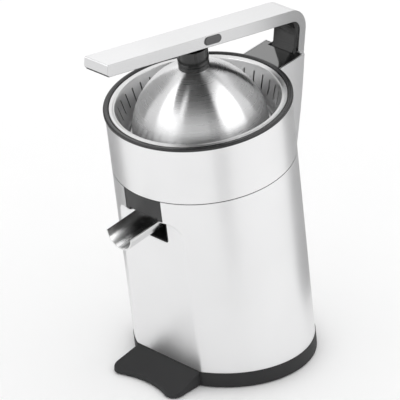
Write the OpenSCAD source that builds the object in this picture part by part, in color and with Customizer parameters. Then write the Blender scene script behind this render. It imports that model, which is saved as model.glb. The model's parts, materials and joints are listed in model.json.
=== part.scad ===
// Electric citrus press with a swing-over lever, an automatic reamer and a tilting spout.
// Most pieces follow the body axis, which leans forward: s runs along that axis, v runs rearward.

/* [Body] */
// Outer radius of the black rim ring
rim_r = 75; // [70:0.5:90]
// Height of the rim, along the leaning body axis
body_len = 233.7; // [195:0.1:285]
// Forward lean of the body axis from upright, degrees
body_lean = 8.24; // [5:0.01:10]
// Height of the steel band above the seam
band_h = 50.8; // [48:0.1:61]
// Open seam between the two steel shells
seam_gap = 0.6; // [0.3:0.1:1]
// Thickness of the steel shells
shell_t = 1; // [0.6:0.1:1.5]
// How far the rim ring stands proud of the shells
ring_proud = 1.2; // [0.6:0.1:2]
// Height of the outer face of the rim ring
ring_h = 2.5; // [1.5:0.1:4]
// Width of the top face of the rim ring
ring_w = 4.1; // [3:0.1:5]
// Depth of the flat front, from the round shell surface
flat_depth = 9; // [7:0.1:11]
// Radius of the top corners of the flat front
flat_corner = 19; // [12:0.5:24]

/* [Base] */
// Height of the black base ring above the floor
base_h = 14.25; // [11:0.25:18]
// Thickness of the tray floor
tray_t = 3; // [2:0.1:4]
// Gap between the tray and the floor, set by the rubber feet
feet_lift = 0.8; // [0.5:0.1:2]
// Reach of the front foot, ahead of the body axis at floor level
foot_reach = 98.5; // [94:0.5:110]
// Half width of the front foot
foot_half_w = 36; // [30:0.5:38]
// Depth of the hollow between the two toes
hollow_depth = 5.8; // [4:0.1:7]
// Thickness of the front foot at its toe
toe_t = 4; // [3:0.1:6]
// Radius of a rubber foot
pad_r = 7; // [5:0.5:8]

/* [Window and spout] */
// Half width of the dark window panel
window_half_w = 19.8; // [18:0.1:22]
// Height of the window panel
window_h = 19.1; // [17:0.1:21]
// Half width of the spout opening
throat_half_w = 16.9; // [16:0.1:18]
// Height of the spout opening below the window
throat_h = 24; // [22:0.5:26]
// Outer radius of the half-round spout trough
spout_r = 13.5; // [12:0.1:14]
// Thickness of the trough
spout_t = 1.2; // [0.8:0.1:1.6]
// Reach of the spout tip ahead of the body axis
spout_reach = 100.3; // [88:0.5:110]
// Downward slope of the trough from square to the body axis, degrees
spout_slope = 1.8; // [0:0.1:4]

/* [Press] */
// Radial gap between the hood rim and the strainer wall
hood_gap = 5.5; // [4:0.1:8]
// Depth of the hood rim below the top of the rim ring
hood_drop = 23.7; // [20:0.1:24]
// Height of the hood dome
hood_h = 56; // [52:0.5:60]
// Wall of the hood
hood_t = 2; // [1.5:0.1:2.5]
// Radius of the hood neck where it meets the lever
neck_r = 12.8; // [11:0.1:14]
// Width of the strainer flange
flange_w = 4.5; // [3.5:0.1:6]
// Wall slope of the strainer basket from the body axis, degrees
basket_slope = 15; // [12:0.5:17]
// Number of slots round the strainer wall
slot_count = 40; // [30:2:44]
// Width of a strainer slot
slot_w = 1.3; // [1:0.1:1.8]
// Length of a strainer wall slot
slot_len = 12.5; // [9:0.5:14]
// Base radius of the reamer
reamer_r = 33; // [28:0.5:36]
// Height of the reamer cone
reamer_h = 44; // [36:0.5:47]
// Number of ribs on the reamer
rib_count = 10; // [6:1:12]
// Travel that presses the reamer down and starts the motor
press_travel = 2; // [1:0.1:2.5]

/* [Lever] */
// Half width of the lever
arm_half_w = 12.4; // [11.5:0.1:13]
// Length of the lever ahead of its hinge pin
arm_len = 207.6; // [195:0.1:225]
// Height of the lever top above its hinge pin, square to the bar
arm_top = 53.1; // [50:0.1:60]
// Depth of the lever bar
bar_d = 9.8; // [9:0.1:11]
// Depth of the lever leg
leg_d = 7; // [6:0.1:8]
// Offset of the back of the leg behind the hinge pin
leg_back = 17; // [16:0.1:18]
// Outer radius of the bend between bar and leg
bend_r = 18.5; // [14:0.5:20]
// Tilt of the bar above square to the body axis, degrees
arm_tilt = 13.5; // [11:0.1:14]
// Thickness of the polished lever skin
skin_t = 1.2; // [0.8:0.1:1.5]
// Radius of the lever hinge pin
pin_r = 4; // [3:0.1:5]
// Length of the oval release buttons
button_len = 18; // [14:0.5:20]
// Height of the oval release buttons
button_h = 6.6; // [5:0.1:7]

/* [Column] */
// Half width of the hinge column
column_half_w = 21; // [20:0.1:24]
// Distance of the hinge pin behind the shell surface
hinge_back = 16.2; // [15.5:0.1:18]
// Depth of the hinge pin below the rim
hinge_drop = 16.7; // [15:0.1:19]
// Distance of the column back behind the hinge pin, at the top
column_back = 11.9; // [11.5:0.1:14]
// Sheet thickness of the column
column_t = 1.2; // [0.8:0.1:1.5]

/* [Drive] */
// Module of the gears
gear_m = 1; // [0.9:0.01:1]
// Teeth on each pinion
pinion_z = 12;
// Teeth on each large gear
wheel_z = 48;
// Backlash at each mesh
backlash = 0.24; // [0.2:0.01:0.3]
// Outer radius of the motor can
motor_r = 31; // [28:0.5:34]
// Length of the motor can
motor_len = 52; // [44:0.5:54]
// Radius of the reamer spindle
spindle_r = 4; // [3.5:0.1:4.5]
// Side of the square drive on the spindle
square_w = 6; // [5:0.1:6.2]

/* [Fits] */
// Running clearance of shafts and pins, on the radius
run_gap = 0.05; // [0.02:0.01:0.1]
// Gap left between seated pieces
seat_gap = 0.1; // [0.05:0.01:0.2]
// Gap between pieces that move past each other
move_gap = 0.5; // [0.4:0.05:0.8]

/* [Hidden] */
$fn = 96;
eps = 0.01;

steel = [0.82, 0.82, 0.82];
bright = [0.93, 0.93, 0.93];
black = [0.13, 0.13, 0.13];
dark = [0.3, 0.3, 0.3];
grey = [0.5, 0.5, 0.5];
white = [0.9, 0.9, 0.87];
brass = [0.75, 0.62, 0.35];

// Levels and radii of the body
rim_s = body_len;
shell_r = rim_r - ring_proud;
shell_in_r = shell_r - shell_t;
ring_in_r = rim_r - ring_w;
flat_v = shell_r - flat_depth;
seam_s = body_len - band_h;
ring_s = rim_s - ring_h;
base_r = shell_r + 0.5;
window_s = seam_s - window_h;
flat_top = window_s - 0.3;
throat_s = window_s - throat_h;
reach_below = 25;

// Strainer, collector and reamer levels
flange_s = rim_s - 0.5;
flange_t = 1.2;
flange_r = ring_in_r - move_gap;
basket_r = flange_r - flange_w;
basket_t = 0.8;
basket_drop = 29;
basket_low_r = basket_r - basket_drop * tan(basket_slope);
basket_low_s = flange_s - basket_drop;
hub_hole_r = 11.6;
chimney_r = 10.6;
chimney_s = rim_s - 29.7;
collector_t = 1.8;
collector_r = basket_r + 3;
collector_low_s = seam_s + 3.5;
seat_s = rim_s - 4.3;
nozzle_v = shell_r - 17.3;
nozzle_r = 5.2;
nozzle_low_s = window_s - 1.2;
reamer_s = rim_s - 28.5;

// Hood
hood_s = rim_s - hood_drop;
hood_r = basket_r - (hood_drop - 0.5) * tan(basket_slope) - hood_gap + 0.2;
hood_power = 1.85;
neck_low_s = hood_s + 0.9375 * hood_h;

// Lever hinge and the lever's own frame: local y runs back from the pin, z square to the bar
hinge_v = shell_r + hinge_back;
hinge_s = rim_s - hinge_drop;
bar_low = arm_top - bar_d;
leg_front = leg_back - leg_d;
liner_front = leg_front - 4.5;
liner_low = bar_low - 0.9;
liner_top = bar_low + 1.6;
leg_low = 10;
nose_r = 2.5;
inner_bend_r = 9;
hub_r = 9;
slot_half_w = arm_half_w + 1.2;
neck_top_s = hinge_s + (liner_low + hinge_v * sin(arm_tilt)) / cos(arm_tilt);
socket_y = -(hinge_v * cos(arm_tilt) + (neck_top_s + 5 - hinge_s) * sin(arm_tilt));
button_z = (bar_low + arm_top) / 2 + 0.4;
button_travel = 2;
socket_half_w = 6.9;
spigot_r = 5.2;

// Column
column_top_s = rim_s - 1.4;
notch_s = hinge_s - 21;
column_low_s = seam_s - 68;
bracket_low_s = hinge_s - 25;

// Spout pivot
spout_rim_s = window_s - 2;
spout_pivot_v = flat_v - 4.8;
spout_pivot_drop = 3.3;
spout_pin_r = 1.5;
spout_back = 9;
throat_back_v = flat_v - 17.5;

// Drive train, stacked down from the deck
deck_s = seam_s - 39.9;
deck_t = 4;
deck_r = shell_in_r - move_gap;
pressure = 25;
centre_dist = gear_m * (pinion_z + wheel_z) / 2;
output_s = deck_s - 15;
output_w = 8;
wheel_s = output_s - 9;
wheel_w = 5.5;
plate_s = wheel_s - 7;
plate_t = 4;
plate_r = centre_dist + 14;
output_hub_r = 6.5;
bush_r = 9;
bush_top_s = deck_s + 6;
shank_s = bush_top_s + press_travel + 0.3;
motor_top_s = plate_s;
shaft_r = 4;
shaft_tip_r = 2.5;
collar_s = deck_s + 14;
collar_r = 18;
switch_v = 16;
post_pitch_r = shell_r - 16;
post_r = 5.5;
post_low_s = 24;
screw_r = 1.75;
spacer_pitch_r = plate_r - 5;

// The origin lies on the floor, under the middle of the whole outline
arm_lean = arm_tilt - body_lean;
hinge_y = hinge_v * cos(body_lean) - hinge_s * sin(body_lean);
reach_front = hinge_y - (arm_len - nose_r) * cos(arm_lean) + (bar_low + nose_r) * sin(arm_lean) - nose_r;
reach_rear = hinge_y + (leg_back - bend_r) * cos(arm_lean) + (arm_top - bend_r) * sin(arm_lean) + bend_r;
axis_y = -(reach_front + reach_rear) / 2;

function arc(cx, cy, r, a0, a1, n = 8) =
    [for (i = [0:n]) let (a = a0 + (a1 - a0) * i / n) [cx + r * cos(a), cy + r * sin(a)]];

function dome_radius(rise, r, h) = r * pow(max(0, 1 - pow(rise / h, hood_power)), 1 / hood_power);

function dome_curve(r, h, s0, n = 18) =
    [for (i = [0:n]) let (q = h * sin(90 * i / n)) [i == n ? 0 : dome_radius(q, r, h), s0 + q]];

// Involute of a tooth flank, in degrees, at radius r over base circle rb
function roll(rb, r) = r > rb ? tan(acos(rb / r)) * 180 / PI - acos(rb / r) : 0;

function gear_points(z, phase) =
    let (rp = gear_m * z / 2, rb = rp * cos(pressure), ra = rp + 0.85 * gear_m, rf = rp - 1.15 * gear_m,
        low = max(rb, rf), flank = [for (k = [0:3]) low + (ra - low) * k / 3],
        radii = rf < rb ? concat([rf], flank) : flank, last = len(radii) - 1,
        half = 90 / z - backlash / 4 / rp * 180 / PI + roll(rb, rp))
    [for (i = [0:z - 1]) for (side = [-1, 1]) for (j = [0:last])
        let (r = radii[side < 0 ? j : last - j], a = 360 * i / z + phase + side * (half - roll(rb, r)))
        [r * cos(a), r * sin(a)]];

module world() translate([0, axis_y, 0]) children();
module lean() world() rotate([body_lean, 0, 0]) children();
module lever_frame() lean() translate([0, hinge_v, hinge_s]) rotate([-arm_tilt, 0, 0]) children();
module spout_frame() lean() translate([0, -spout_pivot_v, spout_rim_s]) rotate([spout_slope, 0, 0]) children();

// A flat outline in (y, z), given thickness along x
module side_extrude(w) rotate([90, 0, 90]) linear_extrude(w, center = true) children();
// A cylinder along x, centred
module cross_rod(r, w) rotate([0, 90, 0]) cylinder(r = r, h = w, center = true);
module tube(r_out, r_in, h) difference() {
    cylinder(r = r_out, h = h);
    translate([0, 0, -eps]) cylinder(r = r_in, h = h + 2 * eps);
}
module oval(len, h) {
    square([len - h, h], center = true);
    for (side = [-1, 1]) translate([side * (len - h) / 2, 0]) circle(d = h);
}
module at_polar(r, angles) for (a = angles) rotate([0, 0, a]) translate([r, 0, 0]) children();

// Block that cuts the flat front: everything ahead of depth d, below level top
module front_block(d, top, corner) translate([0, -d, 0]) rotate([90, 0, 0]) linear_extrude(60)
    polygon(concat([[-60, -80], [60, -80], [60, top - 40], [flat_reach(d), top - 40]],
        arc(flat_reach(d) - corner, top - corner, corner, 0, 90),
        arc(-flat_reach(d) + corner, top - corner, corner, 90, 180),
        [[-flat_reach(d), top - 40], [-60, top - 40]]));
function flat_reach(d) = sqrt(shell_r * shell_r - d * d) + 0.6;

// Round body with its flat front, as a solid from level low to level high
module body_form(r, d, top, corner, low, high) difference() {
    translate([0, 0, low]) cylinder(r = r, h = high - low, $fn = 180);
    front_block(d, top, corner);
}

// Coil spring along z, swept as one closed tube
module coil(radius, wire, height, turns) {
    steps = 14;
    sides = 6;
    rings = steps * turns;
    points = [for (i = [0:rings]) let (a = 360 * i / steps, z = wire + (height - 2 * wire) * i / rings)
        for (k = [0:sides - 1]) let (b = 360 * k / sides, r = radius + wire * cos(b))
        [r * cos(a), r * sin(a), z + wire * sin(b)]];
    tube_faces = [for (i = [0:rings - 1]) for (k = [0:sides - 1]) let (n = (k + 1) % sides)
        [i * sides + k, i * sides + n, (i + 1) * sides + n, (i + 1) * sides + k]];
    end_faces = [[for (k = [sides - 1:-1:0]) k], [for (k = [0:sides - 1]) rings * sides + k]];
    polyhedron(points, concat(tube_faces, end_faces), convexity = 8);
}

module pan_screw(head_r, head_h, r, len) {
    cylinder(r = head_r, h = head_h);
    translate([0, 0, head_h]) cylinder(r = r, h = len);
}

// ---------------------------------------------------------------- base

module floor_slab(z0, z1) translate([-120, -160, z0]) cube([240, 320, z1 - z0]);

// Outline of the front foot on the floor: two rounded toes with a shallow hollow between
module foot_plan() {
    toe_r = 8;
    toe_x = foot_half_w - toe_r;
    toe_y = -foot_reach + toe_r;
    hollow_r = (toe_x * toe_x + pow(toe_r - hollow_depth, 2) - toe_r * toe_r) / 2 / hollow_depth;
    hollow_a = atan2(toe_x, toe_r - hollow_depth + hollow_r);
    polygon(concat([[foot_half_w - 2, -flat_v + 8], [foot_half_w - 2, -flat_v]],
        arc(toe_x, toe_y, toe_r, 0, -90 - hollow_a),
        arc(0, toe_y - toe_r + hollow_depth - hollow_r, hollow_r, 90 - hollow_a + 2, 90 + hollow_a - 2),
        arc(-toe_x, toe_y, toe_r, hollow_a - 90, -180),
        [[-foot_half_w + 2, -flat_v], [-foot_half_w + 2, -flat_v + 8]]));
}

module base_tray() color(black) difference() {
    union() {
        intersection() {
            lean() body_form(base_r, flat_v + 0.3, flat_top, flat_corner, -reach_below, reach_below + 20);
            floor_slab(feet_lift, base_h);
        }
        world() difference() {
            translate([0, 0, feet_lift]) linear_extrude(base_h - feet_lift) foot_plan();
            translate([0, -foot_reach, toe_t]) rotate([foot_slope(), 0, 0]) translate([-60, -30, 0])
                cube([120, 80, 60]);
        }
        intersection() {
            lean() body_form(shell_in_r - seat_gap, flat_v - shell_t - seat_gap, flat_top, flat_corner,
                -reach_below, reach_below + 20);
            floor_slab(base_h - 1, base_h + 5);
        }
        intersection() {
            lean() tray_posts(post_r + 0.5, post_low_s - seat_gap, -reach_below);
            floor_slab(feet_lift, base_h + 60);
        }
    }
    difference() {
        intersection() {
            lean() body_form(shell_in_r - seat_gap - 2, flat_v - shell_t - seat_gap - 2, flat_top,
                flat_corner, -reach_below, 60);
            floor_slab(feet_lift + tray_t, 60);
        }
        lean() tray_posts(post_r + 0.5, post_low_s - seat_gap, -reach_below);
    }
    foot_pads(pad_r + seat_gap, -1, feet_lift + 1.2);
    lean() tray_posts(screw_r + run_gap, 60, -reach_below);
    lean() tray_posts(4.2, 15, -reach_below);
    lean() translate([0, shell_r + 5, gland_s]) rotate([90, 0, 0]) cylinder(r = gland_r + seat_gap, h = 20);
}
function foot_slope() = atan((base_h - toe_t) / (foot_reach - flat_v - 1.2));

module tray_posts(r, top, low) at_polar(post_pitch_r, [45, 135, 225, 315])
    translate([0, 0, low]) cylinder(r = r, h = top - low, $fn = 32);

module foot_pads(r, z0, z1) world() for (side = [-1, 1]) {
    translate([side * 25, -foot_reach + 20, z0]) cylinder(r = r, h = z1 - z0, $fn = 48);
    translate([side * 28, 58, z0]) cylinder(r = r, h = z1 - z0, $fn = 48);
}

module rubber_feet() color(black) foot_pads(pad_r, 0, feet_lift + 1.2 - seat_gap);

module base_screws() color(steel) lean() at_polar(post_pitch_r, [45, 135, 225, 315])
    translate([0, 0, 12.8]) pan_screw(3.6, 2.2 - seat_gap, screw_r, 24, $fn = 32);

gland_s = 22;
gland_r = 5;

module cord_gland() color(black) lean() translate([0, shell_r, gland_s]) rotate([90, 0, 0]) difference() {
    union() {
        translate([0, 0, -2.4]) cylinder(r = gland_r + 2, h = 2);
        translate([0, 0, -2.4]) cylinder(r = gland_r, h = 14);
    }
    translate([0, 0, -3]) cylinder(r = 3.1, h = 16);
}

// ---------------------------------------------------------------- shells

module throat_cut(top) translate([0, -flat_v + 6, 0]) rotate([90, 0, 0]) linear_extrude(40)
    polygon(concat([[throat_half_w, top], [-throat_half_w, top]],
        arc(-throat_half_w + 3, throat_s + 3, 3, 180, 270), arc(throat_half_w - 3, throat_s + 3, 3, 270, 360)));

module window_cut(half_w, low, high) translate([-half_w, -shell_r - 5, low]) cube([2 * half_w, 20, high - low]);

module lower_shell() color(steel) difference() {
    lean() difference() {
        body_form(shell_r, flat_v, flat_top, flat_corner, -reach_below, seam_s - seam_gap / 2);
        body_form(shell_in_r, flat_v - shell_t, flat_top + shell_t, flat_corner + shell_t,
            -reach_below - 1, seam_s + 1);
        window_cut(window_half_w, window_s, seam_s + 1);
        throat_cut(window_s + 1);
        translate([0, shell_r + 5, gland_s]) rotate([90, 0, 0]) cylinder(r = gland_r + seat_gap, h = 20);
    }
    floor_slab(-reach_below * 2, base_h);
}

module upper_shell() color(steel) lean() difference() {
    translate([0, 0, seam_s + seam_gap / 2]) tube(shell_r, shell_in_r, ring_s - seam_s - seam_gap / 2, $fn = 180);
    bracket_holes(screw_r + 0.3);
}

module seam_ring() color(black) lean() difference() {
    union() {
        translate([0, 0, seam_s - 5]) tube(shell_in_r - seat_gap, shell_in_r - 2, 10);
        translate([0, 0, seam_s - seam_gap / 2]) tube(shell_r - 0.6, shell_in_r - 2, seam_gap);
    }
    window_cut(window_half_w, seam_s - 6, seam_s + 6);
}

module rim_ring() color(dark) lean() rotate_extrude($fn = 180) polygon([
    [rim_r, ring_s], [rim_r, rim_s - 0.8], [rim_r - 0.8, rim_s], [ring_in_r + 0.4, rim_s],
    [ring_in_r, rim_s - 0.4], [ring_in_r, seat_s], [collector_r - 1, seat_s],
    [collector_r - 1, seat_s - 1.8], [shell_in_r - seat_gap, seat_s - 1.8], [shell_in_r - seat_gap, ring_s]]);

module window_panel() color(dark) lean() difference() {
    intersection() {
        translate([0, 0, window_s]) tube(shell_r - 0.3, shell_r - 2.6, window_h - seam_gap / 2);
        window_cut(window_half_w - seat_gap, window_s + seat_gap, seam_s - seam_gap / 2);
    }
    intersection() {
        translate([0, 0, window_s]) tube(shell_in_r - 0.02, shell_r - 2.6, window_h);
        window_cut(window_half_w + 3, window_s + 1.2, seam_s - 5.2);
    }
    window_cut(spout_r + 1.5, window_s - 1, window_s + 2.8);
}

// ---------------------------------------------------------------- spout

module spout_housing() color(black) lean() difference() {
    union() {
        translate([-throat_half_w + seat_gap, -flat_v + 0.2, throat_s + seat_gap])
            cube([2 * (throat_half_w - seat_gap), flat_v - throat_back_v, throat_h - 1]);
        translate([-throat_half_w + seat_gap, -flat_v + 1, window_s - 3])
            cube([2 * (throat_half_w - seat_gap), flat_v - throat_back_v - 0.8, 3.7]);
        translate([-throat_half_w - 4, -flat_v + shell_t + seat_gap, throat_s - 4])
            cube([2 * (throat_half_w + 4), 1.5, throat_h - 1]);
    }
    translate([-throat_half_w + 1.6, -flat_v - 5, throat_s + 1.6])
        cube([2 * (throat_half_w - 1.6), flat_v - throat_back_v + 3.5, throat_h - 2.4]);
    translate([-throat_half_w + 1.6, -flat_v - 5, throat_s + 10])
        cube([2 * (throat_half_w - 1.6), 6, throat_h]);
    translate([0, -nozzle_v, window_s - 8]) cylinder(r = nozzle_r + 0.3, h = 12);
    spout_pin_bore(spout_pin_r + 0.02, 2 * throat_half_w + 4);
}

module spout_pin_bore(r, w) translate([0, -spout_pivot_v, spout_rim_s]) rotate([spout_slope, 0, 0])
    translate([0, 0, -spout_pivot_drop]) cross_rod(r, w, $fn = 32);

module spout() color(bright) spout_frame() {
    difference() {
        translate([0, spout_back, 0]) rotate([90, 0, 0]) cylinder(r = spout_r, h = spout_back + spout_run());
        translate([0, spout_back - spout_t, 0]) rotate([90, 0, 0])
            cylinder(r = spout_r - spout_t, h = spout_back + spout_run() + 5);
        translate([-20, -spout_run() - 5, 0]) cube([40, spout_run() + 20, 20]);
        translate([0, 0, -spout_pivot_drop]) cross_rod(spout_pin_r + run_gap, 40, $fn = 32);
    }
    for (side = [-1, 1]) difference() {
        translate([side * (spout_r - 1.9), 0, -spout_pivot_drop]) cross_rod(3, 2, $fn = 32);
        translate([0, 0, -spout_pivot_drop]) cross_rod(spout_pin_r + run_gap, 40, $fn = 32);
    }
}
function spout_run() = spout_reach - spout_pivot_v;

module spout_pins() color(steel) lean() difference() {
    spout_pin_bore(spout_pin_r, 2 * (throat_half_w - seat_gap));
    translate([-spout_r + 3, -120, 0]) cube([2 * spout_r - 6, 120, 300]);
}

// ---------------------------------------------------------------- chassis and drive

module chassis() color(white) lean() difference() {
    union() {
        body_form(deck_r, flat_v - shell_t - move_gap, deck_s + 30, 1, deck_s, deck_s + deck_t);
        translate([0, 0, deck_s - 2]) cylinder(r = bush_r + 3, h = 8);
        tray_posts(post_r, deck_s + 1, post_low_s);
        at_polar(spacer_pitch_r, spacer_angles) translate([0, 0, plate_s + plate_t])
            cylinder(r = 4, h = deck_s + 1 - plate_s - plate_t, $fn = 32);
    }
    translate([0, 0, deck_s - 5]) cylinder(r = bush_r, h = 20);
    tray_posts(screw_r + run_gap, 40, 0);
    at_polar(spacer_pitch_r, spacer_angles) translate([0, 0, plate_s]) cylinder(r = screw_r + run_gap, h = 20, $fn = 32);
    translate([0, centre_dist, deck_s - 5]) cylinder(r = 3 + run_gap, h = 8, $fn = 32);
    board_holes(screw_r + run_gap);
    translate([-throat_half_w - 4.5, -80, deck_s - 5]) cube([2 * (throat_half_w + 4.5), 80 - throat_back_v + 1, 20]);
}
spacer_angles = [0, 180, 270];

module gearbox_plate() color(white) lean() difference() {
    translate([0, 0, plate_s]) cylinder(r = plate_r, h = plate_t);
    translate([0, 0, plate_s - 1]) cylinder(r = shaft_r + run_gap, h = 10);
    translate([0, centre_dist, plate_s - 1]) cylinder(r = 3 + run_gap, h = 10, $fn = 32);
    at_polar(spacer_pitch_r, spacer_angles) translate([0, 0, plate_s - 1]) cylinder(r = screw_r + run_gap, h = 10, $fn = 32);
}

module gearbox_screws() color(steel) lean() at_polar(spacer_pitch_r, spacer_angles)
    translate([0, 0, plate_s - 2.2]) pan_screw(3.4, 2.2, screw_r, 16, $fn = 32);

module motor_can() color(steel) lean() difference() {
    translate([0, 0, motor_top_s - motor_len]) cylinder(r = motor_r, h = motor_len);
    translate([0, 0, motor_top_s - motor_len + 3]) cylinder(r = motor_r - 1.5, h = motor_len);
    translate([0, 0, motor_top_s - motor_len - 1]) cylinder(r = shaft_r + run_gap, h = 8);
}

module stator() color(grey) lean() translate([0, 0, motor_top_s - motor_len + 11])
    tube(motor_r - 1.5 - seat_gap, 18.6, motor_len - 22);

module rotor() color(steel) lean() {
    translate([0, 0, motor_top_s - motor_len]) cylinder(r = shaft_r, h = motor_len + plate_t);
    translate([0, 0, motor_top_s - motor_len + 11]) cylinder(r = 18, h = motor_len - 22);
    translate([0, 0, plate_s]) cylinder(r = shaft_tip_r, h = output_s - plate_s - 1.5, $fn = 48);
}

module gear(z, phase, s0, w) translate([0, 0, s0]) linear_extrude(w) polygon(gear_points(z, phase));

module motor_pinion() color(brass) lean() difference() {
    gear(pinion_z, 0, wheel_s - 0.8, wheel_w + 1.6);
    translate([0, 0, plate_s]) cylinder(r = shaft_tip_r + 0.02, h = 30, $fn = 48);
}

module idler_gear() color(white) lean() translate([0, centre_dist, 0]) difference() {
    union() {
        gear(wheel_z, 180 / wheel_z, wheel_s, wheel_w);
        gear(pinion_z, 0, wheel_s + wheel_w, output_s + output_w + 0.8 - wheel_s - wheel_w);
    }
    translate([0, 0, wheel_s - 1]) cylinder(r = 3 + run_gap, h = 40, $fn = 32);
}

module idler_pin() color(steel) lean() translate([0, centre_dist, plate_s]) cylinder(r = 3, h = deck_s + 3 - plate_s, $fn = 32);

module output_gear() color(white) lean() difference() {
    union() {
        gear(wheel_z, 180 / wheel_z, output_s, output_w);
        translate([0, 0, output_s]) cylinder(r = output_hub_r, h = bush_top_s - output_s);
    }
    translate([-square_w / 2 - seat_gap, -square_w / 2 - seat_gap, output_s + 2])
        cube([square_w + 2 * seat_gap, square_w + 2 * seat_gap, 60]);
}

module output_bush() color(brass) lean() translate([0, 0, deck_s - 2]) tube(bush_r - 0.02, output_hub_r + run_gap, 8);

module spindle() color(steel) lean() {
    translate([-square_w / 2, -square_w / 2, output_s + 2 + press_travel + 1])
        cube([square_w, square_w, bush_top_s + 1 - output_s - 3]);
    translate([0, 0, shank_s]) cylinder(r = spindle_r, h = reamer_s + reamer_h - 12 - shank_s, $fn = 48);
    translate([0, 0, collar_s]) cylinder(r = collar_r, h = 2);
}

module spindle_spring() color(steel) lean() translate([0, 0, bush_top_s + 0.05]) coil(5.4, 0.5, collar_s - bush_top_s - 0.1, 4);

module start_switch() color(black) lean() difference() {
    translate([-3.2, switch_v - 3, deck_s + deck_t]) cube([6.4, 20, 7.6]);
    translate([0, switch_v, deck_s + deck_t + 2]) cylinder(r = 1.3, h = 8, $fn = 24);
}

module switch_plunger() color(white) lean() translate([0, switch_v, deck_s + deck_t + 2.2 + press_travel])
    cylinder(r = 1.2, h = 7.7 - press_travel, $fn = 24);

board_v = 30;
module board_holes(r) for (side = [-1, 1]) translate([side * 20, -board_v, deck_s - 1]) cylinder(r = r, h = 12, $fn = 24);

module rectifier_board() color([0.2, 0.4, 0.25]) lean() difference() {
    union() {
        translate([-25, -board_v - 8, deck_s + deck_t + 3]) cube([50, 16, 1.6]);
        for (side = [-1, 1]) translate([side * 20, -board_v, deck_s + deck_t]) cylinder(r = 3.2, h = 3.2, $fn = 24);
        translate([-8, -board_v - 4, deck_s + deck_t + 4]) cube([10, 8, 7]);
        translate([9, -board_v, deck_s + deck_t + 4]) cylinder(r = 4, h = 9, $fn = 32);
    }
    board_holes(screw_r + run_gap);
}

module board_screws() color(steel) lean() for (side = [-1, 1]) translate([side * 20, -board_v, deck_s + deck_t + 6.8])
    rotate([180, 0, 0]) pan_screw(3, 2.2, screw_r, 7.5, $fn = 24);

// ---------------------------------------------------------------- juice parts

module juice_collector() color(white) lean() difference() {
    union() {
        rotate_extrude($fn = 120) polygon([
            [flange_r - 0.5, seat_s], [flange_r - 0.5, flange_s - flange_t], [collector_r - collector_t, flange_s - flange_t],
            [collector_r - collector_t - 4, collector_low_s + collector_t + 3],
            [collector_r - collector_t - 7, collector_low_s + collector_t],
            [chimney_r, collector_low_s + collector_t], [chimney_r, chimney_s], [chimney_r - 2, chimney_s],
            [chimney_r - 2, collector_low_s], [collector_r - 6, collector_low_s],
            [collector_r - 4 + 1, collector_low_s + 3], [collector_r - 1.2, seat_s - 2], [collector_r - 1.2, seat_s]]);
        translate([0, -nozzle_v, nozzle_low_s]) cylinder(r = nozzle_r, h = collector_low_s - nozzle_low_s + 1);
    }
    translate([0, -nozzle_v, nozzle_low_s - 2]) cylinder(r = nozzle_r - 1.4, h = 40);
}

module chimney_seal() color(black) lean() translate([0, 0, chimney_s - 5])
    tube(chimney_r - 2 - 0.02, spindle_r + run_gap, 4, $fn = 48);

// Slots round the strainer: a row in the wall and a row in the floor
module strainer_slots() {
    at_polar(0, [for (i = [0:slot_count - 1]) 360 * i / slot_count + 90]) {
        translate([basket_r - 1.2 - slot_len, -slot_w / 2, flange_s - 5.4 - slot_len])
            cube([slot_len + 10, slot_w, slot_len]);
        translate([basket_low_r - 26, -slot_w / 2, basket_low_s - 30]) cube([18, slot_w, 40]);
    }
}

module strainer_basket() color(steel) lean() difference() {
    rotate_extrude($fn = 120) polygon([
        [flange_r, flange_s - flange_t], [flange_r, flange_s], [basket_r, flange_s],
        [basket_low_r + 1, basket_low_s + 3.5], [basket_low_r - 2.5, basket_low_s],
        [hub_hole_r + basket_t + 1, basket_low_s - 3.5], [hub_hole_r + basket_t, basket_low_s - 2.5],
        [hub_hole_r + basket_t, basket_low_s + 2], [hub_hole_r, basket_low_s + 2],
        [hub_hole_r, basket_low_s - 3.5 - basket_t], [basket_low_r - 2.2, basket_low_s - basket_t],
        [basket_low_r + 1 + basket_t, basket_low_s + 3], [basket_r + basket_t, flange_s - flange_t]]);
    strainer_slots();
}

// Cone outline: steep at the base, closing to a blunt tip
function cone_radius(q) = reamer_r * pow(1 - q, 0.62) * (1 - 0.12 * q);

module reamer() color(white) lean() difference() {
    union() {
        rotate_extrude($fn = 72) polygon(concat([[chimney_r + 1.9 + hub_skirt, reamer_s], [reamer_r, reamer_s], [reamer_r, reamer_s + 2]],
            [for (i = [1:11]) let (q = i / 12) [cone_radius(q) * 0.86, reamer_s + 2 + (reamer_h - 2) * q]],
            [[2.5, reamer_s + reamer_h - 0.6], [0, reamer_s + reamer_h - 0.6], [0, reamer_s + reamer_h - 7],
            [chimney_r, reamer_s + reamer_h * 0.45], [chimney_r + 1.9 + hub_skirt, reamer_s + 4]]));
        translate([0, 0, chimney_s + 1.6]) cylinder(r = 7, h = reamer_s + reamer_h - 9 - chimney_s);
        for (i = [0:rib_count - 1]) rotate([0, 0, 360 * i / rib_count]) rotate([90, 0, 0])
            linear_extrude(2.4, center = true) polygon(concat([[reamer_r * 0.5, reamer_s + 4], [reamer_r - 0.5, reamer_s + 1.5]],
                [for (k = [1:11]) let (q = k / 12) [cone_radius(q), reamer_s + 2 + (reamer_h - 2) * q]],
                [[1.5, reamer_s + reamer_h], [0, reamer_s + reamer_h], [0, reamer_s + reamer_h - 3]]));
    }
    translate([0, 0, reamer_s - 5]) cylinder(r = spindle_r + 0.02, h = reamer_h - 7 + 0.02, $fn = 48);
}
hub_skirt = 3;

// ---------------------------------------------------------------- column

// Back line of the column: leans in further the lower it goes
function column_v(s) = let (d = column_top_s - s) hinge_v + column_back - 0.1887 * d - 0.00075 * d * d;

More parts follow.
